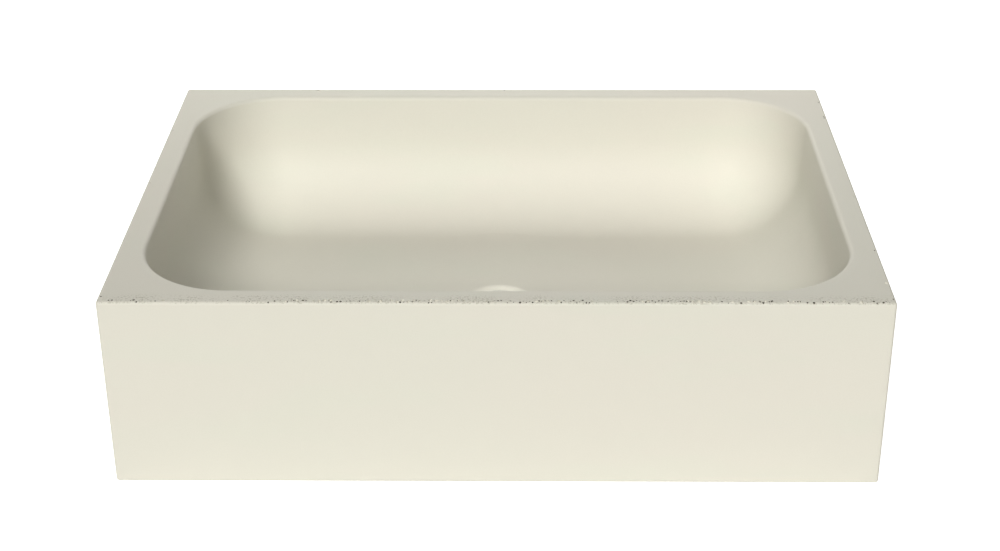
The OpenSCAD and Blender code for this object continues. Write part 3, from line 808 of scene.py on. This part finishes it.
def cap_profile():
    """Out under the cap, down and up its socket and skirt, round its edge and over the dome."""
    crown_r = (CAP_R_MM ** 2 + CAP_RISE_MM ** 2) / (2 * CAP_RISE_MM)
    dome = [(r, CAP_CROWN_Z_MM - crown_r + math.sqrt(crown_r ** 2 - r ** 2))
            for r in (21.1, 20, 17, 13, 9, 5, 2, 0.02)]
    under = [(0.02, 41.3), (3.05, 41.3), (3.05, 37.2), (3.25, 37), (5.7, 37), (6, 37.3),
             (6, 40.3), (15.63, 40.3), (15.63, 36.9), (15.83, 36.7), (17.5, 36.7)]
    groove = list(arc(SEAL_CENTRE_MM, GROOVE_R_MM, 238, 122, 8))
    edge = list(arc((21.2, 41.1), 0.8, -90, 80, 8))
    return under + groove + [(17.75, 40.3)] + edge + dome


for name, slot, material, node, profile, segments in (
        ("plug_dome", "chrome", CHROME, "plug_cap", cap_profile(), 192),
        ("plug_ring", "rubber", RUBBER, "plug_seal",
         list(arc(SEAL_CENTRE_MM, SEAL_WIRE_R_MM, -90, 255, 23)), 144)):
    mesh = turned(name, profile, segments)
    mesh.materials.append(material)
    shade(mesh)
    piece(name, mesh, "plug", slot, node)


# The photographer's table: a plain white sweep that runs up behind the basin. It shows
# white, but still takes the basin's shadow.
SWEEP_FRONT, SWEEP_BEND, SWEEP_BEND_R, SWEEP_TOP, SWEEP_HALF_W = -4.0, 3.2, 0.8, 4.5, 5.0
PAPER_WHITE, PAPER_GLOW = (0.86, 0.86, 0.86, 1), 0.75


def seen_as_background(tree):
    """1 for the rays that show a background: the camera's, and those off metal or through glass."""
    light = plug(tree, "ShaderNodeLightPath").outputs
    return sums(tree, "MAXIMUM", light["Is Camera Ray"], sums(
        tree, "MAXIMUM", light["Is Glossy Ray"], light["Is Transmission Ray"]))


def sweep_material():
    made = bpy.data.materials.new("white paper")
    made.use_nodes = True
    tree = made.node_tree
    tree.nodes.clear()
    paper = plug(tree, "ShaderNodeBsdfDiffuse", {"Color": PAPER_WHITE}).outputs[0]
    glow = plug(tree, "ShaderNodeEmission", {
        "Color": (1, 1, 1, 1),
        "Strength": sums(tree, "MULTIPLY", seen_as_background(tree), PAPER_GLOW)}).outputs[0]
    both = plug(tree, "ShaderNodeAddShader", {0: paper, 1: glow}).outputs[0]
    tree.links.new(both, tree.nodes.new("ShaderNodeOutputMaterial").inputs[0])
    return made


def sweep_mesh():
    bend = arc((SWEEP_BEND, SWEEP_BEND_R), SWEEP_BEND_R, -80, 0, 8)
    section = [(SWEEP_FRONT, 0.0), (SWEEP_BEND, 0.0), *bend,
               (SWEEP_BEND + SWEEP_BEND_R, SWEEP_TOP)]
    points = [(x, y, z - 0.1 * MM) for y, z in section for x in (-SWEEP_HALF_W, SWEEP_HALF_W)]
    faces = [(2 * k, 2 * k + 1, 2 * k + 3, 2 * k + 2) for k in range(len(section) - 1)]
    made = bpy.data.meshes.new("table_sweep")
    made.from_pydata(points, [], faces)
    made.materials.append(sweep_material())
    return made


sweep = bpy.data.objects.new("table_sweep", sweep_mesh())
bpy.context.scene.collection.objects.link(sweep)


# Studio light: a large soft source far off, in front of the basin and a little to its
# left, and a weak soft box low behind it, which gives its rim a sheen towards the back.
# The world shows white to the camera and in metal, and gives next to no light.
WARM_WHITE = (1.0, 0.99, 0.945)
WORLD_FILL = 0.02


def lamp(name, kind, strength, aim, axis):
    """A lamp at the origin, with the given axis of it turned along aim."""
    light = bpy.data.lights.new(name, kind)
    light.color, light.energy = WARM_WHITE, strength
    made = bpy.data.objects.new(name, light)
    made.rotation_euler = Vector(aim).to_track_quat(axis, "Y").to_euler()
    bpy.context.scene.collection.objects.link(made)
    return made, light


def far_source(name, way, spread_deg, strength):
    lamp(name, "SUN", strength, way, "Z")[1].angle = math.radians(spread_deg)


def soft_box(name, place, aim, size, power):
    made, light = lamp(name, "AREA", power, Vector(aim) - Vector(place), "-Z")
    light.size = size
    made.location = place
    made.visible_camera = False


def studio_world():
    world = bpy.data.worlds.new("studio")
    world.use_nodes = True
    tree = world.node_tree
    strength = plug(tree, "ShaderNodeMapRange", {
        0: seen_as_background(tree), 3: WORLD_FILL, 4: 1.0}).outputs[0]
    plain = tree.nodes["Background"].inputs
    plain[0].default_value = (1, 1, 1, 1)
    tree.links.new(strength, plain[1])
    return world


far_source("key_light", way=(-0.147, -0.835, 0.530), spread_deg=14, strength=2.95)
soft_box("back_light", place=(0, 0.8, 0.5), aim=(0, 0, 0.1), size=0.8, power=2.7)
bpy.context.scene.world = studio_world()
bpy.context.scene.view_settings.view_transform = "Standard"


# Camera: where the photograph was taken from, found from the block's edges in it. The
# lens looks along +Y until it is pitched down, rolled and turned about +Z.
YAW, PITCH, ROLL = math.radians(0.773), math.radians(27.617), math.radians(0.261)
CAMERA_PLACE = (0.0184, -1.3169, 0.7560)
LENS_MM, SENSOR_MM, NEAR, FAR = 65.64, 36, 0.05, 50

ahead = Vector((0, math.cos(PITCH), -math.sin(PITCH)))
level_down = Vector((0, -math.sin(PITCH), -math.cos(PITCH)))
level_right = Vector((1, 0, 0))
right = level_right * math.cos(ROLL) + level_down * math.sin(ROLL)
down = level_down * math.cos(ROLL) - level_right * math.sin(ROLL)
view = Matrix.Rotation(YAW, 3, "Z") @ Matrix((right, -down, -ahead)).transposed()
lens = bpy.data.cameras.new("photo_camera")
lens.lens, lens.sensor_width = LENS_MM, SENSOR_MM
lens.clip_start, lens.clip_end = NEAR, FAR
camera = bpy.data.objects.new("photo_camera", lens)
camera.matrix_world = Matrix.Translation(CAMERA_PLACE) @ view.to_4x4()
bpy.context.scene.collection.objects.link(camera)
bpy.context.scene.camera = camera
